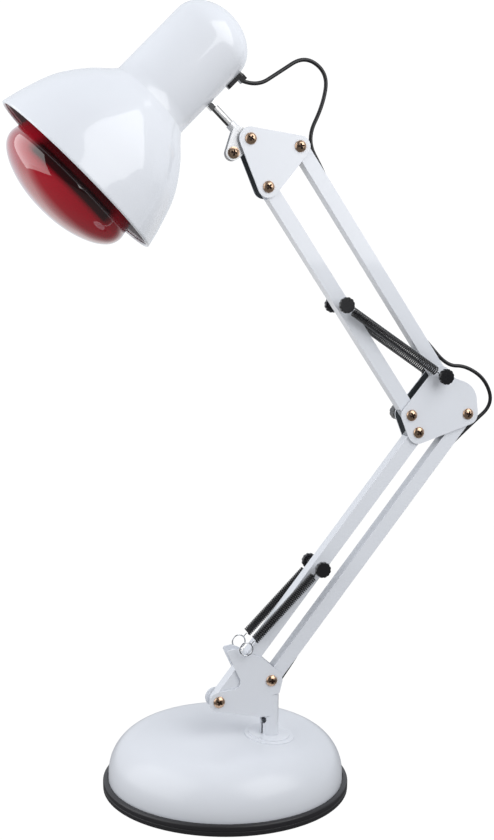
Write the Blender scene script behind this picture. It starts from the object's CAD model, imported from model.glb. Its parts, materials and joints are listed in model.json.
"""Heat therapy desk lamp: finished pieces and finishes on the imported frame, laid out as an add-on."""

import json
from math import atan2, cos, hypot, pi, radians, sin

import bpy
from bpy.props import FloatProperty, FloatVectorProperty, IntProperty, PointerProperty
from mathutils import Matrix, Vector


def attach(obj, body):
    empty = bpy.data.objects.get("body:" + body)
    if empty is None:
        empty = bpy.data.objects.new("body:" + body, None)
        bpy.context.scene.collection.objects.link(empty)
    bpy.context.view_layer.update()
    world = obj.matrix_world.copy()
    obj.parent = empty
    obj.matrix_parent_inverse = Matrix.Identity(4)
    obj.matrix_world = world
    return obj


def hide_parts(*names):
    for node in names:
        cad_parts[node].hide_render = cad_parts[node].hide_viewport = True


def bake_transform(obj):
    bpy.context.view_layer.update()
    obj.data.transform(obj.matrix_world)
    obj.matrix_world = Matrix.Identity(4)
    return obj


bl_info = {
    "name": "Heat Therapy Desk Lamp",
    "version": (1, 0, 0),
    "blender": (4, 5, 0),
    "location": "View3D > Sidebar > Lamp",
    "description": "Builds the lamp's shade, bulb, base, springs, leads and finishes on its frame",
    "category": "Object",
}

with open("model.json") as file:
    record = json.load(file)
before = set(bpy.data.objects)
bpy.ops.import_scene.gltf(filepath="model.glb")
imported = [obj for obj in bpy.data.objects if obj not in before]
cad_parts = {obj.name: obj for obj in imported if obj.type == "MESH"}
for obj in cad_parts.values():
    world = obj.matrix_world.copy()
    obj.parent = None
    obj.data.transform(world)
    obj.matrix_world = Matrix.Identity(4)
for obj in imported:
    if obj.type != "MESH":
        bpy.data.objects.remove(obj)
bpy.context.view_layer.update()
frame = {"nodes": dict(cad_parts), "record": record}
NODES = frame["nodes"]
MM = 0.001

# the swivel axis in millimetres, to the right of the base's centre and behind it
NECK = (33.0, -31.0)
# pivots in the arm's plane, in millimetres: (x, z) from the swivel axis
A, B = (-49.6, 93.5), (-0.6, 109.8)  # lower bars on the bracket
C2, C3 = (138.1, 333.4), (187.1, 349.7)  # lower bars on the elbow plates
C1, K = (130.8, 349.4), (159.4, 385.2)  # upper bars on the elbow plates
H3, H2 = (-8.2, 551.5), (20.4, 587.3)  # upper bars on the head plates
H1, F = (-24.6, 592.2), (-38.7, 580.0)  # knuckle in the head plates, and its pinch screw
# the rim's centre, the way from it to the closed end, and how far along it the rod sits
RIM, ALONG, ROD_U = (-172.3, 557.55), (0.6944, 0.7196), 125.0
SHADE_SWIVEL = radians(4.8)
LEAD_HEADING = radians(14.68)


# ---- sizes and colours a user would change ----------------------------------------------------------
class LampShadeSettings(bpy.types.PropertyGroup):
    wall: FloatProperty(name="Shade wall", description="Sheet thickness of the shade", default=0.0012,
                        min=0.0006, max=0.003, unit="LENGTH")
    rim_bead: FloatProperty(name="Rim bead", description="Radius of the rolled edge", default=0.0015,
                            min=0.0005, max=0.003, unit="LENGTH")
    steps: IntProperty(name="Facets", description="Steps round the shade, bulb and base", default=128,
                       min=48, max=256)


class LampSpringSettings(bpy.types.PropertyGroup):
    wire: FloatProperty(name="Spring wire", description="Wire diameter of the balance springs",
                        default=0.00145, min=0.0008, max=0.002, unit="LENGTH")
    coil_radius: FloatProperty(name="Coil radius", description="Outer radius of the coils", default=0.0043,
                               min=0.003, max=0.006, unit="LENGTH")


class LampLeadSettings(bpy.types.PropertyGroup):
    diameter: FloatProperty(name="Lead diameter", description="Outside diameter of the flexible lead",
                            default=0.0035, min=0.002, max=0.008, unit="LENGTH")
    turns: IntProperty(name="Coil turns", description="Turns of the rolled-up mains lead", default=9,
                       min=4, max=14)


class LampFinishSettings(bpy.types.PropertyGroup):
    paint: FloatVectorProperty(name="Paint", description="Gloss enamel colour", subtype="COLOR",
                               default=(0.81, 0.835, 0.885), min=0, max=1)
    bulb_red: FloatVectorProperty(name="Bulb red", description="Colour of the ruby glass", subtype="COLOR",
                                  default=(0.40, 0.004, 0.016), min=0, max=1)
    screw: FloatVectorProperty(name="Screws", description="Colour of the coppery screw heads",
                               subtype="COLOR", default=(0.72, 0.5, 0.35), min=0, max=1)
    rubber: FloatVectorProperty(name="Rubber", description="Colour of the base ring", subtype="COLOR",
                                default=(0.019, 0.018, 0.021), min=0, max=1)


class LampSettings(bpy.types.PropertyGroup):
    shade: PointerProperty(type=LampShadeSettings)
    springs: PointerProperty(type=LampSpringSettings)
    leads: PointerProperty(type=LampLeadSettings)
    finish: PointerProperty(type=LampFinishSettings)


def settings():
    """The sizes and colours that the panel's user can change."""
    return bpy.context.scene.heat_lamp


# ---- places ------------------------------------------------------------------------------------------
def at(p, y=0.0):
    """A point of the arm's plane in metres."""
    return Vector(((NECK[0] + p[0]) * MM, (NECK[1] + y) * MM, p[1] * MM))


def floor(right, back, z=0.0):
    """A point near the floor in metres, turned with the lead's exit: to the right of and behind the base."""
    c, s = cos(LEAD_HEADING), sin(LEAD_HEADING)
    return Vector(((right * c + back * s) * MM, (back * c - right * s) * MM, z * MM))


def mix(p, q, t):
    """The point at share t of the way from p to q."""
    return (p[0] + (q[0] - p[0]) * t, p[1] + (q[1] - p[1]) * t)


def unit(p, q):
    """Direction from p to q, and the distance between them."""
    length = hypot(q[0] - p[0], q[1] - p[1])
    return ((q[0] - p[0]) / length, (q[1] - p[1]) / length), length


def shade_matrix():
    """Shade frame: origin at the rim's centre, z towards the closed end, x along the rod."""
    c, s = cos(SHADE_SWIVEL), sin(SHADE_SWIVEL)
    z = Vector((ALONG[0] * c, -s, ALONG[1] * c)).normalized()
    x = Vector((ALONG[1], 0, -ALONG[0])).normalized()
    y = z.cross(x).normalized()
    origin = at((RIM[0] + ROD_U * ALONG[0], RIM[1] + ROD_U * ALONG[1])) - z * ROD_U * MM
    turn = Matrix((x, y, z)).transposed().to_4x4()
    return Matrix.Translation(origin) @ turn


# ---- modelling helpers -------------------------------------------------------------------------------
def deselect():
    """Leave edit mode and select nothing."""
    if bpy.context.object and bpy.context.object.mode != "OBJECT":
        bpy.ops.object.mode_set(mode="OBJECT")
    bpy.ops.object.select_all(action="DESELECT")


def pick(obj):
    """Select one object alone and make it active."""
    deselect()
    obj.select_set(True)
    bpy.context.view_layer.objects.active = obj


def traced(name, points):
    """A line of edges, extruded from point to point and left in edit mode."""
    deselect()
    bpy.ops.mesh.primitive_plane_add(size=0.001, location=(0, 0, 0))
    obj = bpy.context.object
    obj.name = obj.data.name = name
    bpy.ops.object.mode_set(mode="EDIT")
    bpy.ops.mesh.select_all(action="SELECT")
    bpy.ops.mesh.merge(type="CENTER")
    bpy.ops.transform.translate(value=points[0])
    for p, q in zip(points, points[1:]):
        bpy.ops.mesh.extrude_vertices_move(
            TRANSFORM_OT_translate={"value": Vector(q) - Vector(p)})
    return obj


def spun(name, profile, place=None, smooth=35, steps=None):
    """Spin a profile of (radius, height) millimetre points about Z and put it in its place."""
    points = [Vector((r * MM, 0, z * MM)) for r, z in profile]
    obj = traced(name, points)
    bpy.ops.mesh.select_all(action="SELECT")
    bpy.ops.mesh.spin(steps=steps or settings().shade.steps, angle=2 * pi, center=(0, 0, 0), axis=(0, 0, 1))
    bpy.ops.mesh.select_all(action="SELECT")
    bpy.ops.mesh.remove_doubles(threshold=2e-6)
    bpy.ops.mesh.normals_make_consistent(inside=False)
    bpy.ops.object.mode_set(mode="OBJECT")
    if place:
        obj.data.transform(place)
    finish_smooth(obj, smooth)
    return obj


def finish_smooth(obj, angle):
    """Smooth shading, except over edges sharper than the angle in degrees."""
    pick(obj)
    bpy.ops.object.shade_smooth_by_angle(angle=radians(angle))


def joined(name, parts):
    """Join the parts into one object with this name."""
    deselect()
    for part in parts:
        part.select_set(True)
    bpy.context.view_layer.objects.active = parts[0]
    bpy.ops.object.join()
    parts[0].name = parts[0].data.name = name
    return parts[0]


def placed(obj):
    """Bring the place and turn of an object into its mesh."""
    pick(obj)
    bpy.ops.object.transform_apply(location=True, rotation=True, scale=True)
    return obj


def along(p, q):
    """Turn that takes Z onto the line from p to q."""
    return (q - p).to_track_quat("Z", "Y").to_matrix().to_4x4()


def eased(points, per_run=6):
    """Smooth line through profile points, a Catmull-Rom spline."""
    out = []
    n = len(points)
    for i in range(n - 1):
        p0, p1, p2, p3 = (Vector(points[max(i - 1, 0)]), Vector(points[i]), Vector(points[i + 1]),
                          Vector(points[min(i + 2, n - 1)]))
        for k in range(per_run):
            t = k / per_run
            q = 0.5 * ((2 * p1) + (p2 - p0) * t + (2 * p0 - 5 * p1 + 4 * p2 - p3) * t * t
                       + (3 * p1 - p0 - 3 * p2 + p3) * t ** 3)
            out.append((q.x, q.y))
    out.append(tuple(points[-1]))
    return out


def arc(cx, cz, r, start, end, n=8):
    """Points of an arc about (cx, cz), from one angle to the other in degrees."""
    angles = [radians(start + (end - start) * i / n) for i in range(n + 1)]
    return [(cx + r * cos(a), cz + r * sin(a)) for a in angles]


def dress(obj, body, material, *nodes, slot=None):
    """Give a piece its finish, let it ride on its body and stand for its nodes."""
    obj.data.materials.clear()
    obj.data.materials.append(material)
    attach(obj, body)
    if nodes:
        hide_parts(*nodes)
    return obj


# ---- finishes ------------------------------------------------------------------------------------------
COAT_ROUGHNESS, BUMP_HEIGHT = 0.05, 0.0002
ENAMEL_GRAIN = 260


def new_node(tree, kind, values=(), data_type=None):
    """New node with its data type and then the values of its inputs set."""
    made = tree.nodes.new("ShaderNode" + kind)
    if data_type:
        made.data_type = data_type
    for name, value in values:
        made.inputs[name].default_value = value
    return made


def link(tree, *joints):
    """Join outputs to inputs, each joint being (node, output, node, input)."""
    for source, output, target, name in joints:
        tree.links.new(source.outputs[output], target.inputs[name])


def map_range(tree, low, high, bottom=0.0, top=1.0):
    """Node that takes a value from low..high to bottom..top."""
    return new_node(tree, "MapRange", (("From Min", low), ("From Max", high), ("To Min", bottom),
                                       ("To Max", top)))


def toned(colour, tone):
    """The colour made lighter or darker, without going past white."""
    return (*[min(1, c * tone) for c in colour], 1)


def finish(name, colour, roughness, metallic=0.0, coat=0.0, grain=0.0, grain_scale=900.0, mottle=0.0,
           mottle_scale=40.0, rough_spread=0.0, specular=0.5):
    """Surface with a fine grain in its height, a slow change in its colour and in its gloss."""
    mat = bpy.data.materials.get(name)
    if mat:
        return mat
    mat = bpy.data.materials.new(name)
    mat.use_nodes = True
    tree = mat.node_tree
    shader = tree.nodes["Principled BSDF"]
    for key, value in (("Base Color", (*colour, 1)), ("Roughness", roughness), ("Metallic", metallic),
                       ("Coat Weight", coat), ("Coat Roughness", COAT_ROUGHNESS),
                       ("Specular IOR Level", specular)):
        shader.inputs[key].default_value = value
    place = new_node(tree, "TexCoord")
    slow = new_node(tree, "TexNoise", (("Scale", mottle_scale), ("Detail", 4)))
    tint = new_node(tree, "Mix", (("A", (*[c * (1 - mottle) for c in colour], 1)),
                                  ("B", toned(colour, 1 + mottle))), data_type="RGBA")
    gloss = map_range(tree, 0.0, 1.0, max(0.02, roughness - rough_spread), roughness + rough_spread)
    link(tree, (place, "Object", slow, "Vector"), (slow, "Fac", tint, "Factor"),
         (tint, "Result", shader, "Base Color"), (slow, "Fac", gloss, "Value"),
         (gloss, "Result", shader, "Roughness"))
    if grain:
        fine = new_node(tree, "TexNoise", (("Scale", grain_scale), ("Detail", 2)))
        bump = new_node(tree, "Bump", (("Strength", grain), ("Distance", BUMP_HEIGHT)))
        link(tree, (place, "Object", fine, "Vector"), (fine, "Fac", bump, "Height"),
             (bump, "Normal", shader, "Normal"))
    return mat


def enamel():
    return finish("White enamel", settings().finish.paint, 0.3, coat=0.9, grain=0.03,
                  grain_scale=ENAMEL_GRAIN, mottle=0.012, rough_spread=0.04, specular=0.25)


def shade_enamel():
    return finish("Shade enamel", [1.035 * c for c in settings().finish.paint], 0.3, coat=0.9, grain=0.03,
                  grain_scale=ENAMEL_GRAIN, mottle=0.012, rough_spread=0.04, specular=0.25)


def base_enamel():
    return finish("Base enamel", [0.94 * c for c in settings().finish.paint], 0.3, coat=0.1, grain=0.05,
                  grain_scale=ENAMEL_GRAIN, mottle=0.012, rough_spread=0.05)


def shade_inside():
    return finish("Shade inside", (0.2, 0.195, 0.21), 0.4, grain=0.05, grain_scale=ENAMEL_GRAIN,
                  mottle=0.05, rough_spread=0.05)


def shade_bands(tree, low, high, tones, colour):
    """Colour ramp by height in the shade's frame, in millimetres, and the node that holds the place there.

    Each tone is (position, share of the colour). A ramp sorts its stops when one is moved, so each is
    added where it stays.
    """
    to_shade = shade_matrix().inverted()
    place = new_node(tree, "TexCoord")
    turned = new_node(tree, "Mapping", (("Location", to_shade.translation),
                                        ("Rotation", to_shade.to_euler())))
    split = new_node(tree, "SeparateXYZ")
    reach = map_range(tree, low * MM, high * MM)
    ramp = new_node(tree, "ValToRGB")
    stops = ramp.color_ramp.elements
    stops[0].position, stops[1].position = tones[0][0], tones[-1][0]
    for where, _ in tones[1:-1]:
        stops.new(where)
    for stop, (_, tone) in zip(stops, tones):
        stop.color = toned(colour, tone)
    link(tree, (place, "Object", turned, "Vector"), (turned, "Vector", split, 0),
         (split, "Z", reach, "Value"), (reach, "Result", ramp, "Fac"))
    return ramp, split


# share of the bulb's red by height: from its face, past the shade's rim, to inside the shade
RUBY_REACH = 20
RUBY_TONES = ((0.02, 1.12), (0.08, 0.8), (0.14, 0.1), (0.345, 0.05), (0.385, 0.3), (1.0, 0.22))
# the bands fade in between these places across the shade, in millimetres
RUBY_PLAIN, RUBY_BANDED, RUBY_FACE_TONE = -43, -50, 1.08
# share of white across the rod, from the side that faces the bell
ROD_REACH = 3.4
ROD_TONES = ((0.0, 0.05), (0.2, 0.06), (0.28, 0.85), (0.8, 0.9), (0.88, 0.3))


def ruby_glass():
    """Red glass: bright over the mirrored bowl, deep where the rim's dark side shows through it."""
    if bpy.data.materials.get("Ruby glass"):
        return bpy.data.materials["Ruby glass"]
    red = settings().finish.bulb_red
    mat = finish("Ruby glass", red, 0.04, coat=1.0, mottle=0.1, mottle_scale=25, rough_spread=0.01,
                 specular=0.8)
    tree = mat.node_tree
    rings, split = shade_bands(tree, -RUBY_REACH, RUBY_REACH, RUBY_TONES, red)
    side = map_range(tree, RUBY_PLAIN * MM, RUBY_BANDED * MM)
    around = new_node(tree, "Mix", (("A", toned(red, RUBY_FACE_TONE)),), data_type="RGBA")
    link(tree, (split, "Y", side, "Value"), (side, "Result", around, "Factor"),
         (rings, "Color", around, "B"), (around, "Result", tree.nodes["Principled BSDF"], "Base Color"))
    return mat


def satin_nickel():
    return finish("Satin nickel", (0.84, 0.85, 0.87), 0.35, metallic=0.35, grain=0.06, grain_scale=1200,
                  mottle=0.05, mottle_scale=200, rough_spread=0.06)


def shaded_steel():
    return finish("Bare inside", (0.085, 0.095, 0.105), 0.5, grain=0.05, mottle=0.2, mottle_scale=60,
                  rough_spread=0.06, specular=0.2)


def recess_shade():
    return finish("Screw recess", (0.045, 0.022, 0.014), 0.5, mottle=0.1, specular=0.2)


def rod_chrome():
    """Chrome of the shade's rod: white on top, dark along the side that faces the bell."""
    if bpy.data.materials.get("Rod chrome"):
        return bpy.data.materials["Rod chrome"]
    mat = finish("Rod chrome", (0.85, 0.86, 0.88), 0.18, metallic=0.3, rough_spread=0.03)
    tree = mat.node_tree
    bands, _ = shade_bands(tree, ROD_U - ROD_REACH, ROD_U + ROD_REACH, ROD_TONES, (1, 1, 1))
    link(tree, (bands, "Color", tree.nodes["Principled BSDF"], "Base Color"))
    return mat


def soft_rubber():
    return finish("Black rubber", settings().finish.rubber, 0.42, grain=0.12, grain_scale=1500,
                  mottle=0.1, rough_spread=0.06)


def copper_screw():
    return finish("Copper screw", settings().finish.screw, 0.28, metallic=1.0, grain=0.1,
                  grain_scale=2500, mottle=0.2, mottle_scale=300, rough_spread=0.1)


def spring_steel():
    return finish("Black spring wire", (0.012, 0.012, 0.014), 0.2, coat=0.5, mottle=0.2, mottle_scale=120,
                  rough_spread=0.05, specular=0.5)


def black_moulding():
    return finish("Black moulding", (0.010, 0.010, 0.012), 0.24, coat=0.35, grain=0.05, grain_scale=900,
                  mottle=0.15, mottle_scale=90, rough_spread=0.05)


def lead_sheath():
    return finish("Lead sheath", (0.013, 0.013, 0.015), 0.34, grain=0.015, grain_scale=700, mottle=0.15,
                  mottle_scale=60, rough_spread=0.05)


def bright_chrome():
    return finish("Bright chrome", (0.72, 0.73, 0.75), 0.1, metallic=1.0, mottle=0.04, rough_spread=0.04)


def zinc_plate():
    return finish("Zinc plate", (0.72, 0.73, 0.75), 0.32, metallic=1.0, grain=0.1, grain_scale=1200,
                  mottle=0.12, mottle_scale=200, rough_spread=0.1)


def porcelain():
    return finish("Porcelain", (0.78, 0.76, 0.71), 0.2, coat=0.5, mottle=0.03, rough_spread=0.03)


def nylon():
    return finish("Nylon bush", (0.7, 0.69, 0.65), 0.45, grain=0.05, mottle=0.03, rough_spread=0.04)


def cast_iron():
    return finish("Cast ballast", (0.09, 0.09, 0.09), 0.7, grain=0.6, grain_scale=600, mottle=0.2,
                  mottle_scale=150, rough_spread=0.1)


# ---- camera --------------------------------------------------------------------------------------------
CAMERA_AT = (-0.2797, -1.0674, 0.4608)
CAMERA_YAW, CAMERA_PITCH, CAMERA_ROLL = radians(15.59), radians(6.02), radians(0.49)
SENSOR_HEIGHT, LENS_PER_SENSOR = 36, 1216.3 / 840


class LAMP_OT_camera(bpy.types.Operator):
    """Set the camera that looks at the lamp a little from the left"""
    bl_idname = "heat_lamp.camera"
    bl_label = "Camera"

    def execute(self, context):
        yaw, pitch, roll = CAMERA_YAW, CAMERA_PITCH, CAMERA_ROLL
        ahead = Vector((sin(yaw) * cos(pitch), cos(yaw) * cos(pitch), -sin(pitch)))
        right = ahead.cross(Vector((0, 0, 1))).normalized()
        up = right.cross(ahead)
        x = cos(roll) * right + sin(roll) * up
        y = -sin(roll) * right + cos(roll) * up
        turn = Matrix((x, y, -ahead)).transposed().to_4x4()
        deselect()
        bpy.ops.object.camera_add()
        camera = context.object
        camera.name = "view_camera"
        camera.matrix_world = Matrix.Translation(CAMERA_AT) @ turn
        camera.data.sensor_fit = "VERTICAL"
        camera.data.sensor_height = SENSOR_HEIGHT
        camera.data.lens = SENSOR_HEIGHT * LENS_PER_SENSOR
        camera.data.clip_start = 0.02
        context.scene.camera = camera
        return {"FINISHED"}


# ---- leads ---------------------------------------------------------------------------------------------
def in_bar(p, q, distance, right):
    """A point beside the line of a bar: its distance from p, and how far right of the line it lies."""
    (dx, dz), _ = unit(p, q)
    return (p[0] + distance * dx + right * dz, p[1] + distance * dz - right * dx)


UPPER_LENGTH, LOWER_LENGTH = unit(K, H2)[1], unit(B, C3)[1]
# the lead's place across a bar, where it goes under the bar's back, and how far a loop runs on in there
IN_CHANNEL, COVERED, STUB = 4.6, 54.0, 14.0


def channel(p, q, length, distance):
    """The lead's two points inside a bar, the same distance from either end."""
    return in_bar(p, q, distance, IN_CHANNEL), in_bar(p, q, length - distance, IN_CHANNEL)


UPPER_IN, UPPER_OUT = channel(K, H2, UPPER_LENGTH, COVERED)
LOWER_IN, LOWER_OUT = channel(B, C3, LOWER_LENGTH, COVERED)
UPPER_RUN = channel(K, H2, UPPER_LENGTH, COVERED + STUB)
LOWER_RUN = channel(B, C3, LOWER_LENGTH, COVERED + STUB)
# routes of the lead: on the arm as (x, z) or (x, z, y), and near the floor as floor() takes them
HEAD_LOOP = [(-30.6, 641.0, -3.0), (-17.8, 637.2, -2.5), (2.0, 650.3, -1.0), (26.0, 666.4), (47.4, 652.4),
             (43.8, 625.5), (28.6, 594.5), in_bar(K, H2, UPPER_LENGTH - 29.0, 8.6), UPPER_OUT, UPPER_RUN[1]]
ELBOW_LOOP = [UPPER_RUN[0], UPPER_IN, in_bar(K, H2, 31.0, 8.2), in_bar(K, H2, 2.0, 12.6), (187.5, 394.0),
              (208.4, 381.0), (216.7, 357.6), in_bar(B, C3, LOWER_LENGTH - 3.0, 12.6),
              in_bar(B, C3, LOWER_LENGTH - 30.0, 7.8), LOWER_OUT, LOWER_RUN[1]]
NECK_LEAD = [LOWER_RUN[0], LOWER_IN, in_bar(B, C3, 31.0, 9.0), (2.9, 98.0), (0.8, 66.0), (-0.2, 44.5)]
FIRST_LEAD = [(-7.17, 105.4, 15.5), (-8.1, 119.2, 15.5), (-2.3, 129.0, 7.5), (-6.2, 137.8, 2.2),
              (-17.4, 143.9, 2.5)]
SECOND_LEAD = [(-79.8, 134.8, 3.5), (-85.1, 140.4, 2.3), (-86.1, 148.2, 1.8), (-81.3, 157.4, 1.8),
               (-66.4, 162.3, 1.8), (-40.6, 168.2, 1.8), (-8.0, 173.5, 1.8), (27.5, 172.0, 1.8)]
TAIL_LEAD = [(78.4, 151.5, 5.4), (81.9, 143.2, 6.4), (79.6, 135.0, 9.4), (72.3, 130.7, 12.5)]
SWITCH_AT, SWITCH_HEADING, SWITCH_LENGTH = (-50.5, 136.5), radians(188.0), 44.0
COIL_AT, COIL_MEAN_R, COIL_STEPS = (52.0, 139.5), 22.0, 14
# the coil's turns lie side by side in two layers of five, one on the floor and one on top of it
COIL_ROW, COIL_PITCH, COIL_LOW, COIL_HIGH = 5, 3.5, 1.8, 5.3
PLUG_AT, PLUG_TO_LEAD, PLUG_HEIGHT = (33.0, 132.2), 17 + 13.5, 14.0
RELIEF_LENGTH, RELIEF_START, RELIEF_END, RELIEF_RIB = 25 * MM, 3.5 * MM, 2.15 * MM, 0.25 * MM


def new_curve(name, kind, points):
    """Curve object with one spline through, or led by, the points."""
    curve = bpy.data.curves.new(name, "CURVE")
    curve.dimensions = "3D"
    spline = curve.splines.new(kind)
    spline.points.add(len(points) - 1)
    for point, place in zip(spline.points, points):
        point.co = (*place, 1)
    curve.use_fill_caps = True
    obj = bpy.data.objects.new(name, curve)
    bpy.context.scene.collection.objects.link(obj)
    return obj, spline


def route_curve(name, points, diameter):
    """Smooth line with the route's points as its control points."""
    obj, spline = new_curve(name, "NURBS", points)
    spline.order_u = 3
    spline.use_endpoint_u = True
    spline.resolution_u = 8
    obj.data.bevel_depth = diameter / 2
    obj.data.bevel_resolution = 4
    return obj


def as_mesh(obj, name, angle):
    """Turn a curve into a smooth mesh."""
    pick(obj)
    bpy.ops.object.convert(target="MESH")
    obj = bpy.context.object
    obj.name = obj.data.name = name
    finish_smooth(obj, angle)
    return obj


def route_path(name, points, diameter):
    """Points along the middle of a route's smooth line."""
    obj = route_curve(name, points, diameter)
    obj.data.bevel_depth = 0
    bpy.context.view_layer.update()
    line = bpy.data.meshes.new_from_object(obj.evaluated_get(bpy.context.evaluated_depsgraph_get()))
    path = [v.co.copy() for v in line.vertices]
    bpy.data.meshes.remove(line)
    bpy.data.objects.remove(obj)
    return path


def tapered(name, path, start, end, rib=0.0):
    """Tube along a path, its radius running from start to end, ribbed for a strain relief."""
    obj, spline = new_curve(name, "POLY", path)
    for i, point in enumerate(spline.points):
        point.radius = (start + (end - start) * i / (len(path) - 1) - rib * (i % 2)) / MM
    obj.data.bevel_depth = MM
    obj.data.bevel_resolution = 5
    return as_mesh(obj, name, 50)


def path_length(path):
    """Length of a line through points."""
    return sum((q - p).length for p, q in zip(path, path[1:]))


def switch_end(side):
    """Where the lead meets the switch: -1 on the side of the base, 1 on the side of the plug."""
    return (SWITCH_AT[0] + side * SWITCH_LENGTH / 2 * cos(SWITCH_HEADING),
            SWITCH_AT[1] + side * SWITCH_LENGTH / 2 * sin(SWITCH_HEADING), 5.0)


def arm_points(points):
    """Points of the arm's plane, some with their distance behind it, in metres."""
    return [at(p[:2], p[2] if len(p) > 2 else 0.0) for p in points]


class LAMP_OT_mains_lead(bpy.types.Operator):
    """Lay the mains lead: exit, switch, rolled-up length and plug"""
    bl_idname = "heat_lamp.mains_lead"
    bl_label = "Mains lead"

    def execute(self, context):
        d = settings().leads.diameter
        points = [floor(*p) for p in FIRST_LEAD + [switch_end(-1)]]
        first = route_curve("mains_lead_to_switch", points, d)
        dress(first, "base", lead_sheath(), "mains_lead_first", slot="black_cord")
        line = route_path("relief_guide", points, d)
        sleeve = [p for i, p in enumerate(line) if path_length(line[:i + 1]) < RELIEF_LENGTH]
        relief = tapered("base_strain_relief", sleeve, RELIEF_START, RELIEF_END, RELIEF_RIB)
        dress(relief, "base", soft_rubber(), slot="black_rubber")
        route = [floor(*p) for p in [switch_end(1)] + SECOND_LEAD + self.coil() + TAIL_LEAD
                 + [(PLUG_AT[0] + PLUG_TO_LEAD, PLUG_AT[1], PLUG_HEIGHT)]]
        path = route_path("rolled_guide", route, d)
        rest = as_mesh(route_curve("mains_lead_rolled", route, d), "mains_lead_rolled", 60)
        dress(rest, "base", lead_sheath(), "mains_lead_second", "mains_lead_coil", "mains_lead_tail",
              slot="black_cord")
        return {"FINISHED"}

    def coil(self):
        """Turns on the floor from the outside in, then on top of them back out, to where the tail starts."""
        points = []
        for i in range(1, settings().leads.turns * COIL_STEPS + 2):
            t = i / COIL_STEPS
            across = COIL_ROW - 1 - t if t < COIL_ROW else t - COIL_ROW
            across = min(max(across, 0), COIL_ROW - 1)
            r = COIL_MEAN_R + (across - 2) * COIL_PITCH + 0.25 * sin(7.3 * t)
            climb = (t - 4.7) / 0.6 * COIL_PITCH
            rise = COIL_LOW if climb < 0 else min(COIL_LOW + climb, COIL_HIGH)
            angle = radians(90) - 2 * pi * t
            points.append((COIL_AT[0] + r * cos(angle), COIL_AT[1] + r * sin(angle), rise))
        return points


class LAMP_OT_arm_leads(bpy.types.Operator):
    """Lay the lead's loops at the neck, elbow and head of the arm"""
    bl_idname = "heat_lamp.arm_leads"
    bl_label = "Arm leads"

    def execute(self, context):
        d = settings().leads.diameter
        # each loop is cut where one joint's turn ends and the next one's starts
        neck = (("neck_lead_loop", "bracket", "lower_right", (3, 92), LOWER_IN, None),)
        elbow = (("elbow_lead_loop", "elbow", "upper_right", (189, 392), UPPER_IN, (213.5, 372)),
                 ("elbow_lead_end", "elbow", "lower_right", (213.5, 368), LOWER_OUT, None))
        head = (("head_lead_start", "shade", "knuckle", (-27, 640), (2, 648), (5, 650)),
                ("head_lead_loop", "knuckle", "head", (5, 650), (40, 612), (39, 612)),
                ("head_lead_end", "head", "upper_right", (39, 612), UPPER_OUT, None))
        for points, node, pieces in ((NECK_LEAD, "neck_lead", neck), (ELBOW_LOOP, "elbow_loop_lead", elbow),
                                     (HEAD_LOOP, "head_loop_lead", head)):
            path = route_path(node + "_guide", arm_points(points), d)
            for name, a, b, start, end, cut in pieces:
                last = len(path) - 1
                if cut:
                    last = min(range(2, last), key=lambda i: (path[i] - at(cut)).length)
                line, path = path[:last + 1], path[last:]
                piece = tapered(name, line, d / 2, d / 2)
                piece.data.materials.clear()
                piece.data.materials.append(lead_sheath())
                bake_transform(piece)
                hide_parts(node)
        return {"FINISHED"}


# ---- shade and bulb ------------------------------------------------------------------------------------
# profiles in the shade's frame: (radius, distance from the rim's plane towards the closed end)
BELL = [(84.7, 0.0), (79.6, 20.0), (70.8, 45.0), (56.6, 67.0), (42.6, 82.0), (37.2, 88.0)]
NECK_TUBE_R, DOME_U, SHADE_END = 37.2, 160.0, 188.3
# the inside wall starts clear of the rolled edge, and its dark finish a little further in
INSIDE_START, LINED_FROM, END_LINED_FROM = 0.3, 2 * MM, 20 * MM
BULB_FACE = [(0.0, -42.3), (15.0, -41.4), (30.0, -38.6), (44.0, -33.7), (53.5, -28.3), (60.0, -22.0),
             (63.0, -14.5)]
BULB_BACK = [(63.0, -14.5), (62.3, -6.0), (57.6, 12.0), (46.8, 36.0), (33.5, 60.0), (22.0, 82.0),
             (16.5, 105.5)]


def bell_profile(inset):
    """Outside of the shade from the rim to the closed end, moved inwards by inset."""
    line = eased(BELL, 10)
    out = []
    for i, (r, u) in enumerate(line):
        a, b = Vector(line[max(i - 1, 0)]), Vector(line[min(i + 1, len(line) - 1)])
        d = (b - a).normalized()
        out.append((r - inset * d.y, u + inset * d.x))
    neck = [(NECK_TUBE_R - inset, u) for u in (98, 110, 125, 140, 152)]
    crown = [((NECK_TUBE_R - inset) * cos(t), DOME_U + (SHADE_END - DOME_U - inset) * sin(t))
             for t in [radians(90 * i / 20) for i in range(20)]]
    return out + neck + crown + [(0.0, SHADE_END - inset)]


class LAMP_OT_shade(bpy.types.Operator):
    """Spin the shade from its profile, with a rolled rim"""
    bl_idname = "heat_lamp.shade"
    bl_label = "Shade"

    def execute(self, context):
        wall = settings().shade.wall / MM
        bead = settings().shade.rim_bead / MM
        rolled = arc(BELL[0][0] - bead, 0.0, bead, 0, -180, 8)
        inside = bell_profile(wall)
        profile = rolled[::-1] + bell_profile(0)[1:]
        profile = [(r, u) for r, u in inside[::-1] if u > INSIDE_START] + profile
        shade = spun("shade_shell", profile, shade_matrix(), smooth=50)
        dress(shade, "shade", shade_enamel(), "lamp_shade", slot="gloss_white")
        shade.data.materials.append(shade_inside())
        place = shade_matrix()
        centre, axis = place.translation, place.col[2].to_3d()
        for face in shade.data.polygons:
            out = face.center - centre
            height = out.dot(axis)
            out -= axis * height
            wall_inside = face.normal.dot(out) < 0 and height > LINED_FROM
            end_inside = face.normal.dot(axis) < -0.9 and height > END_LINED_FROM
            if wall_inside or end_inside:
                face.material_index = 1
        return {"FINISHED"}


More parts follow.
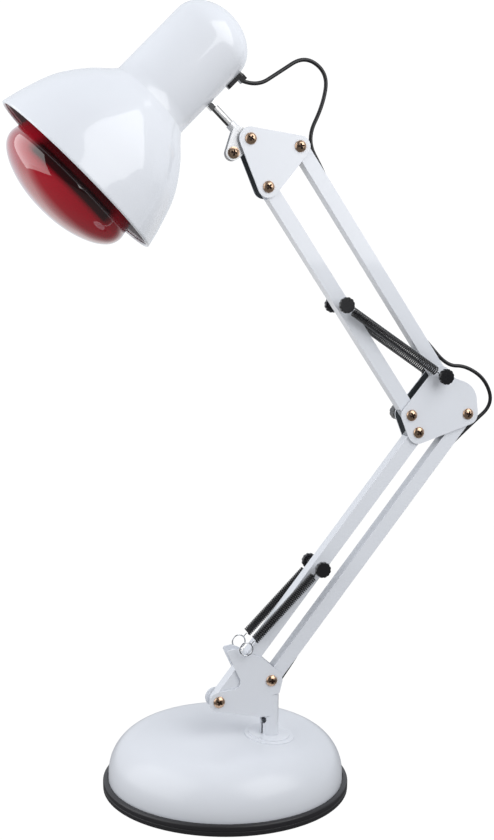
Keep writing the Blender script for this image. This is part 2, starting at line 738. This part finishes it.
class LAMP_OT_bulb(bpy.types.Operator):
    """Spin the ruby reflector bulb"""
    bl_idname = "heat_lamp.bulb"
    bl_label = "Bulb"

    def execute(self, context):
        line = eased(BULB_FACE + BULB_BACK[1:], 7)
        bulb = spun("bulb_envelope", line + [(0.0, BULB_BACK[-1][1])], shade_matrix(), smooth=50)
        dress(bulb, "shade", ruby_glass(), "bulb_glass", slot="red_glass")
        return {"FINISHED"}


# ---- base ----------------------------------------------------------------------------------------------
# a shallow crown meets a round shoulder, which ends in an upright edge on the ring
CROWN_TOP, CROWN_R, SHOULDER_R, SHOULDER_Z = 59.3, 423.7, 37.0, 15.5
SHELL_R, SHELL_FOOT, SHELL_WALL = 109.2, 9.2, 1.6
# the wall's inner side stops short of the axis and of the floor
INNER_FROM_R, INNER_FROM_Z = 12, 11
RING_SECTION = ([(99.0, 6.4), (99.0, 0.0), (112.6, 0.0)] + arc(112.6, 1.7, 1.7, -90, 0, 5)
                + [(114.4, 4.3), (113.9, 4.7), (113.9, 5.1), (114.4, 5.5), (114.4, 7.4)]
                + arc(112.2, 7.8, 2.2, 0, 80, 6)
                + [(110.4, 10.1), (110.2, SHELL_FOOT), (106.0, SHELL_FOOT), (106.0, 6.4), (99.0, 6.4)])


class LAMP_OT_base(bpy.types.Operator):
    """Spin the domed base shell and its rubber ring"""
    bl_idname = "heat_lamp.base"
    bl_label = "Base"

    def execute(self, context):
        crown_z, shoulder_x = CROWN_TOP - CROWN_R, SHELL_R - SHOULDER_R
        lean = atan2(SHOULDER_Z - crown_z, shoulder_x) * 180 / pi
        shoulder = arc(shoulder_x, SHOULDER_Z, SHOULDER_R, 0, lean, 24)
        crown = arc(0, crown_z, CROWN_R, lean, 90, 24)
        outer = [(SHELL_R, SHELL_FOOT)] + shoulder + crown[1:-1] + [(0.0, CROWN_TOP)]
        inner = [(r - SHELL_WALL * (r / SHELL_R), z - SHELL_WALL) for r, z in outer
                 if r > INNER_FROM_R and z > INNER_FROM_Z]
        foot = (SHELL_R - SHELL_WALL, SHELL_FOOT)
        profile = [foot] + outer + [(0.0, CROWN_TOP - SHELL_WALL)] + inner[::-1] + [foot]
        shell = spun("base_shell_skin", profile, smooth=40)
        dress(shell, "base", base_enamel(), "base_shell", slot="gloss_white")
        rubber = spun("base_ring_skin", RING_SECTION, smooth=30)
        dress(rubber, "base", soft_rubber(), "base_foot_ring", slot="black_rubber")
        return {"FINISHED"}


# ---- springs -------------------------------------------------------------------------------------------
# distance of each spring from the arm's plane, and the lower springs' hook ring and its foot in the tab
SPRING_Y, TAB_Y = 12.9, 5.4
LOWER_HOOK, TAB_HOLE, FOOT = (-26.0, 142.0), (-25.3, 135.4), 6
# how far up the left bars the cross pins sit, as a share of the bar
LOWER_PIN, UPPER_PIN = 0.495, 0.496
# the eye on the pin, where the coils start, the room before the hook's ring, and how far wires run into rings
EYE_R, COILS_FROM, HOOK_ROOM, OVERLAP = 3.6, 9, 4.5, 0.2
# a turn's pitch as a multiple of the wire, and the points that make one turn
TURN_PITCH, TURN_STEPS = 1.28, 18
HOOK_WIRE = 0.85
HOOK_BRIGHT_FROM = 0.6 * MM


def wire_ring(place, radius, wire):
    """Ring of wire in the arm's plane."""
    deselect()
    bpy.ops.mesh.primitive_torus_add(major_radius=radius, minor_radius=wire / 2, major_segments=32,
                                     minor_segments=8, location=place, rotation=(pi / 2, 0, 0))
    return placed(bpy.context.object)


def wire_run(p, q, wire):
    """Straight wire from p to q."""
    deselect()
    bpy.ops.mesh.primitive_cylinder_add(radius=wire / 2, depth=(q - p).length, vertices=10)
    obj = bpy.context.object
    obj.data.transform(Matrix.Translation((p + q) / 2) @ along(p, q))
    return obj


def coil_body(p, q, radius, wire):
    """Closed coils from p to q: one wire section carried round by a Screw modifier."""
    deselect()
    bpy.ops.mesh.primitive_circle_add(radius=wire / 2, vertices=7, location=(radius - wire / 2, 0, wire / 2),
                                      rotation=(pi / 2, 0, 0))
    obj = placed(bpy.context.object)
    length = (q - p).length - wire
    turns = int(length / (wire * TURN_PITCH))
    screw = obj.modifiers.new("turns", "SCREW")
    screw.axis = "Z"
    screw.angle = 2 * pi
    screw.screw_offset = length / turns
    screw.iterations = turns
    screw.steps = screw.render_steps = TURN_STEPS
    screw.use_merge_vertices = True
    bpy.ops.object.modifier_apply(modifier="turns")
    obj.data.transform(Matrix.Translation(p) @ along(p, q))
    bpy.ops.object.mode_set(mode="EDIT")
    bpy.ops.mesh.select_all(action="SELECT")
    bpy.ops.mesh.normals_make_consistent(inside=False)
    bpy.ops.object.mode_set(mode="OBJECT")
    return obj


class LAMP_OT_springs(bpy.types.Operator):
    """Wind the balance springs with their eyes and hooks"""
    bl_idname = "heat_lamp.springs"
    bl_label = "Balance springs"

    def execute(self, context):
        wire = settings().springs.wire
        radius = settings().springs.coil_radius
        thin = HOOK_WIRE * wire
        kinds = (("lower", mix(A, C2, LOWER_PIN), LOWER_HOOK, 6.0, "lower_left", "bracket"),
                 ("upper", mix(C1, H3, UPPER_PIN), K, 3.6, "upper_left", "elbow"))
        for kind, p, q, hook_r, a, b in kinds:
            (dx, dz), _ = unit(p, q)
            for side, name in ((-1, "near"), (1, "far")):
                y = side * SPRING_Y
                before = hook_r + HOOK_ROOM
                start = at((p[0] + COILS_FROM * dx, p[1] + COILS_FROM * dz), y)
                end = at((q[0] - before * dx, q[1] - before * dz), y)
                touch = EYE_R - OVERLAP
                eye_edge = at((p[0] + touch * dx, p[1] + touch * dz), y)
                touch = hook_r - OVERLAP
                hook_edge = at((q[0] - touch * dx, q[1] - touch * dz), y)
                parts = [coil_body(start, end, radius, wire), wire_ring(at(p, y), EYE_R * MM, thin),
                         wire_ring(at(q, y), hook_r * MM, thin), wire_run(start, eye_edge, thin),
                         wire_run(end, hook_edge, thin)]
                if kind == "lower":
                    (hx, hz), _ = unit(LOWER_HOOK, TAB_HOLE)
                    foot = (LOWER_HOOK[0] + FOOT * hx, LOWER_HOOK[1] + FOOT * hz)
                    parts.append(wire_run(at(foot, y), at(foot, side * TAB_Y), thin))
                spring = joined(f"{kind}_spring_coils_{name}", parts)
                finish_smooth(spring, 60)
                spring.data.materials.clear()
                spring.data.materials.append(spring_steel())
                spring.data.materials.append(bright_chrome())
                heading, reach = (end - start).normalized(), (end - start).length
                for face in spring.data.polygons:
                    beyond = (face.center - start).dot(heading) - reach
                    face.material_index = int(beyond > HOOK_BRIGHT_FROM)
                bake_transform(spring)
                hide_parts(f"{kind}_spring_{name}")
        return {"FINISHED"}


# ---- sheet metal: the folded bars, plates and bracket with rounded edges -------------------------------
BAR_EDGE, PLATE_EDGE, STRAP_EDGE = 0.4 * MM, 0.3 * MM, 0.2 * MM
def eased_copy(node, name, width, segments=2, limit=30):
    """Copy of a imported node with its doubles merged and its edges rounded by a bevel."""
    source = NODES[node]
    obj = bpy.data.objects.new(name, source.data.copy())
    bpy.context.scene.collection.objects.link(obj)
    pick(obj)
    bpy.ops.object.mode_set(mode="EDIT")
    bpy.ops.mesh.select_all(action="SELECT")
    bpy.ops.mesh.remove_doubles(threshold=1e-6)
    bpy.ops.mesh.dissolve_limited(angle_limit=radians(1.0))
    bpy.ops.object.mode_set(mode="OBJECT")
    bevel = obj.modifiers.new("edge", "BEVEL")
    bevel.width = width
    bevel.segments = segments
    bevel.limit_method = "ANGLE"
    bevel.angle_limit = radians(limit)
    bevel.use_clamp_overlap = True
    bpy.ops.object.modifier_apply(modifier="edge")
    finish_smooth(obj, 32)
    flat = obj.modifiers.new("flat", "WEIGHTED_NORMAL")
    flat.keep_sharp = True
    bpy.ops.object.modifier_apply(modifier="flat")
    return obj


class LAMP_OT_sheet_metal(bpy.types.Operator):
    """Round the edges of the bars, plates and bracket"""
    bl_idname = "heat_lamp.sheet_metal"
    bl_label = "Sheet metal"

    def execute(self, context):
        for node, body in (("lower_left_bar", "lower_left"), ("lower_right_bar", "lower_right"),
                           ("upper_left_bar", "upper_left"), ("upper_right_bar", "upper_right"),
                           ("elbow_plates", "elbow"), ("head_plates", "head"),
                           ("neck_bracket", "bracket"), ("base_socket", "base")):
            piece = eased_copy(node, node + "_skin", BAR_EDGE if node.endswith("bar") else PLATE_EDGE)
            dress(piece, body, enamel(), node, slot="gloss_white")
            if node in ("head_plates", "elbow_plates"):
                piece.data.materials.append(shaded_steel())
                for face in piece.data.polygons:
                    # a face that looks towards the arm's plane is on the inner side of its plate
                    off_centre = face.center.y - NECK[1] * MM
                    face.material_index = int(face.normal.y * off_centre < -0.9 * abs(off_centre))
        strap = eased_copy("shade_knuckle", "shade_knuckle_skin", STRAP_EDGE)
        dress(strap, "knuckle", satin_nickel(), "shade_knuckle", slot="zinc_steel")
        return {"FINISHED"}


# ---- screws and rod ------------------------------------------------------------------------------------
# pan heads and shanks in millimetres: a dome, spread sideways, on a short upright edge
HEAD_R, HEAD_EDGE, HEAD_HEIGHT = 5.15, 0.8, 3.0
SHANK_R, SHANK_CHAMFER = 2.5, 0.4
DOME_R, DOME_CENTRE, DOME_FROM, DOME_SPREAD = 4.9, -1.9, 42, 1.27
# the cross recess: its block, how far that stands above the head, and what its lower end shrinks to
RECESS, RECESS_RAISED, RECESS_FOOT = (8.2 * MM, 2.5 * MM, 4.4 * MM), 0.4, (0.45, 0.6, 1.0)
# screw lengths: through both plates, with room for the tension knob, and through the pinched strap
THROUGH, LONG, PINCH = 22.4, 29.5, 10.9
PLATE_Y, STRAP_Y, PINCH_HEAD = -8.5, -4.3, 2.4
# each screw stops at its own turn, this much further than the one before
FIRST_TURN, TURN_ON = 20, 37
# section of the rod and its collar: (radius, distance from the neck's axis)
ROD_SECTION = [(0, 29.4), (2.5, 29.4), (2.5, 37.7), (3.35, 38.2), (3.35, 60.6), (3.0, 61.2), (2.7, 61.4),
               (2.7, 72.4), (2.2, 73.0), (0, 73.0)]


def recess_cutter(height, turn):
    """One bar of the cross recess, narrower at its lower end."""
    deselect()
    bpy.ops.mesh.primitive_cube_add(size=1, location=(0, 0, (height + RECESS_RAISED) * MM))
    cutter = bpy.context.object
    cutter.data.materials.append(recess_shade())
    cutter.scale = RECESS
    cutter.rotation_euler = (0, 0, radians(turn))
    placed(cutter)
    bpy.ops.object.mode_set(mode="EDIT")
    bpy.ops.mesh.select_all(action="DESELECT")
    bpy.ops.object.mode_set(mode="OBJECT")
    for vertex in cutter.data.vertices:
        vertex.select = vertex.co.z < height * MM
    bpy.ops.object.mode_set(mode="EDIT")
    bpy.ops.transform.resize(value=RECESS_FOOT, center_override=(0, 0, 0))
    bpy.ops.object.mode_set(mode="OBJECT")
    return cutter


def cross_screw(end, height):
    """Pan-head screw along Z, head up from z 0, with a cross recess cut into it."""
    dome = arc(0, DOME_CENTRE, DOME_R * height / HEAD_HEIGHT, DOME_FROM, 90, 7)
    lift = height - dome[-1][1]
    profile = [(0.0, -end), (SHANK_R - SHANK_CHAMFER, -end), (SHANK_R, SHANK_CHAMFER - end), (SHANK_R, 0.0),
               (HEAD_R, 0.0), (HEAD_R, HEAD_EDGE)]
    profile += [(r * DOME_SPREAD, z + lift) for r, z in dome[:-1]] + [(0.0, height)]
    body = spun("screw_body", profile, smooth=40, steps=40)
    body.data.materials.append(copper_screw())
    body.data.materials.append(recess_shade())
    for turn in (0, 90):
        cutter = recess_cutter(height, turn)
        pick(body)
        cut = body.modifiers.new("recess", "BOOLEAN")
        cut.object = cutter
        cut.operation = "DIFFERENCE"
        cut.solver = "EXACT"
        cut.material_mode = "TRANSFER"
        bpy.ops.object.modifier_apply(modifier="recess")
        bpy.data.objects.remove(cutter)
    return body


class LAMP_OT_screws(bpy.types.Operator):
    """Cut the cross-recessed pivot screws and turn the shade's rod"""
    bl_idname = "heat_lamp.screws"
    bl_label = "Screws and rod"

    def execute(self, context):
        groups = (("bracket_screws", "bracket", PLATE_Y, HEAD_HEIGHT, ((A, THROUGH), (B, THROUGH))),
                  ("elbow_screws", "elbow", PLATE_Y, HEAD_HEIGHT,
                   ((C2, THROUGH), (C3, THROUGH), (C1, LONG))),
                  ("head_screws", "head", PLATE_Y, HEAD_HEIGHT,
                   ((H1, THROUGH), (H2, THROUGH), (H3, THROUGH))),
                  ("knuckle_screw", "knuckle", STRAP_Y, PINCH_HEAD, ((F, PINCH),)))
        turn = FIRST_TURN
        for node, body, face_y, height, places in groups:
            heads = []
            for p, end in places:
                screw = cross_screw(end, height)
                turn += TURN_ON
                screw.data.transform(Matrix.Translation(at(p, face_y)) @ Matrix.Rotation(pi / 2, 4, "X")
                                     @ Matrix.Rotation(radians(turn), 4, "Z"))
                heads.append(screw)
            piece = joined(node + "_cut", heads) if len(heads) > 1 else heads[0]
            piece.name = piece.data.name = node + "_cut"
            finish_smooth(piece, 40)
            inside = [face.material_index for face in piece.data.polygons]
            dress(piece, body, copper_screw(), node, slot="brass")
            if len(piece.data.materials) < 2:
                piece.data.materials.append(recess_shade())
            for face, index in zip(piece.data.polygons, inside):
                face.material_index = index
        place = shade_matrix()
        centre = place @ Vector((0, 0, ROD_U * MM))
        lie = Matrix.Translation(centre) @ along(Vector((0, 0, 0)), place.col[0].to_3d())
        rod = spun("shade_rod_turned", ROD_SECTION, lie, smooth=40, steps=32)
        dress(rod, "shade", rod_chrome(), "shade_rod", slot="chrome")
        return {"FINISHED"}


# ---- small pieces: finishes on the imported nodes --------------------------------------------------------
class LAMP_OT_finishes(bpy.types.Operator):
    """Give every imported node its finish"""
    bl_idname = "heat_lamp.finishes"
    bl_label = "Finishes"

    def execute(self, context):
        by_slot = {"gloss_white": enamel, "black_rubber": soft_rubber, "cast_ballast": cast_iron,
                   "zinc_steel": zinc_plate, "brass": copper_screw, "chrome": bright_chrome,
                   "black_steel": spring_steel, "red_glass": ruby_glass, "porcelain": porcelain,
                   "nylon": nylon, "black_cord": lead_sheath, "black_plastic": black_moulding}
        for part in frame["record"]["subparts"]:
            node = NODES[part["node"]]
            material = by_slot[part["material_slot"]]()
            if not node.material_slots:
                node.data.materials.append(material)
            for holder in node.material_slots:
                holder.material = material
        return {"FINISHED"}


# ---- stage ---------------------------------------------------------------------------------------------
ROOM_COLOUR, WHITE = (0.91, 0.945, 1.0, 1), (1, 1, 1, 1)
SEEN_WHITE = 1.05
FLOOR_SIZE, FLOOR_DROP, FLOOR_GREY = 6, -0.0005, (0.04, 0.04, 0.04, 1)
# the soft windows: place, the point each looks at, width, height and power
WINDOWS = (("window_right", (0.58, -0.88, 1.08), (-0.12, -0.1, 0.57), 1.2, 1.25, 11.2),
           ("window_left", (-1.2, 0.0, 0.9), (-0.14, 0, 0.57), 1.8, 1.6, 12.5))


def soft_window(name, place, target, width, height, power):
    """Area light that looks at its target."""
    deselect()
    bpy.ops.object.light_add(type="AREA", location=place)
    lamp = bpy.context.object
    lamp.name = name
    lamp.data.shape = "RECTANGLE"
    lamp.data.size = width
    lamp.data.size_y = height
    lamp.data.energy = power
    lamp.rotation_euler = (Vector(target) - Vector(place)).to_track_quat("-Z", "Y").to_euler()


def white_studio():
    """Surroundings that light the lamp more from behind, mirror darker in front, and look plain white."""
    world = bpy.data.worlds.new("White studio")
    world.use_nodes = True
    tree = world.node_tree
    room = tree.nodes["Background"]
    room.inputs["Color"].default_value = ROOM_COLOUR
    heading, split = new_node(tree, "TexCoord"), new_node(tree, "SeparateXYZ")
    rays = new_node(tree, "LightPath")
    dim, mirrored = map_range(tree, -1.0, -0.2, 0.26, 0.54), map_range(tree, -0.5, 0.5, 0.06, 0.85)
    strength = new_node(tree, "Mix")
    seen = new_node(tree, "Background", (("Color", WHITE), ("Strength", SEEN_WHITE)))
    both = new_node(tree, "MixShader")
    link(tree, (heading, "Generated", split, 0), (split, "Y", dim, "Value"), (split, "Y", mirrored, "Value"),
         (rays, "Is Glossy Ray", strength, "Factor"), (dim, "Result", strength, "A"),
         (mirrored, "Result", strength, "B"), (strength, "Result", room, "Strength"),
         (rays, "Is Camera Ray", both, 0), (room, 0, both, 1), (seen, 0, both, 2),
         (both, 0, tree.nodes["World Output"], "Surface"))
    return world


def pale_floor():
    """Floor that looks plain white, lights the lamp from below and is mirrored brighter further back."""
    pale = bpy.data.materials.new("Pale floor")
    pale.use_nodes = True
    tree = pale.node_tree
    shader = tree.nodes["Principled BSDF"]
    for key, value in (("Base Color", FLOOR_GREY), ("Roughness", 0.9), ("Specular IOR Level", 0.0),
                       ("Emission Color", WHITE)):
        shader.inputs[key].default_value = value
    spot, parts = new_node(tree, "TexCoord"), new_node(tree, "SeparateXYZ")
    paths = new_node(tree, "LightPath")
    sweep = map_range(tree, 0.4, 1.2, 0.1, 0.75)
    mirror, glow = map_range(tree, 0.0, 1.0, bottom=0.42), map_range(tree, 0.0, 1.0)
    link(tree, (spot, "Object", parts, 0), (parts, "Y", sweep, "Value"), (sweep, "Result", mirror, "To Max"),
         (paths, "Is Glossy Ray", mirror, "Value"), (mirror, "Result", glow, "To Min"),
         (paths, "Is Camera Ray", glow, "Value"), (glow, "Result", shader, "Emission Strength"))
    return pale


class LAMP_OT_stage(bpy.types.Operator):
    """Set the pale floor, the white surroundings and the soft lights"""
    bl_idname = "heat_lamp.stage"
    bl_label = "Stage"

    def execute(self, context):
        context.scene.view_settings.view_transform = "Standard"
        context.scene.world = white_studio()
        deselect()
        bpy.ops.mesh.primitive_plane_add(size=FLOOR_SIZE, location=(0, 0, FLOOR_DROP))
        ground = context.object
        ground.name = "pale_floor"
        ground.data.materials.append(pale_floor())
        for window in WINDOWS:
            soft_window(*window)
        return {"FINISHED"}


class LAMP_PT_panel(bpy.types.Panel):
    """Lamp pieces"""
    bl_label = "Heat Therapy Lamp"
    bl_idname = "LAMP_PT_panel"
    bl_space_type = "VIEW_3D"
    bl_region_type = "UI"
    bl_category = "Lamp"

    def draw(self, context):
        for step in STEPS:
            self.layout.operator(step.bl_idname)


STEPS = (LAMP_OT_camera, LAMP_OT_mains_lead, LAMP_OT_arm_leads, LAMP_OT_finishes, LAMP_OT_base, LAMP_OT_shade,
         LAMP_OT_bulb, LAMP_OT_springs, LAMP_OT_sheet_metal, LAMP_OT_screws, LAMP_OT_stage)
CLASSES = (LampShadeSettings, LampSpringSettings, LampLeadSettings, LampFinishSettings, LampSettings,
           *STEPS, LAMP_PT_panel)


def register():
    for cls in CLASSES:
        bpy.utils.register_class(cls)
    bpy.types.Scene.heat_lamp = PointerProperty(type=LampSettings)


def unregister():
    del bpy.types.Scene.heat_lamp
    for cls in reversed(CLASSES):
        bpy.utils.unregister_class(cls)


def main():
    register()
    bpy.ops.heat_lamp.camera()
    bpy.ops.heat_lamp.mains_lead()
    bpy.ops.heat_lamp.arm_leads()
    bpy.ops.heat_lamp.finishes()
    bpy.ops.heat_lamp.base()
    bpy.ops.heat_lamp.shade()
    bpy.ops.heat_lamp.bulb()
    bpy.ops.heat_lamp.springs()
    bpy.ops.heat_lamp.sheet_metal()
    bpy.ops.heat_lamp.screws()
    bpy.ops.heat_lamp.stage()
    deselect()


if __name__ == "__main__":
    main()
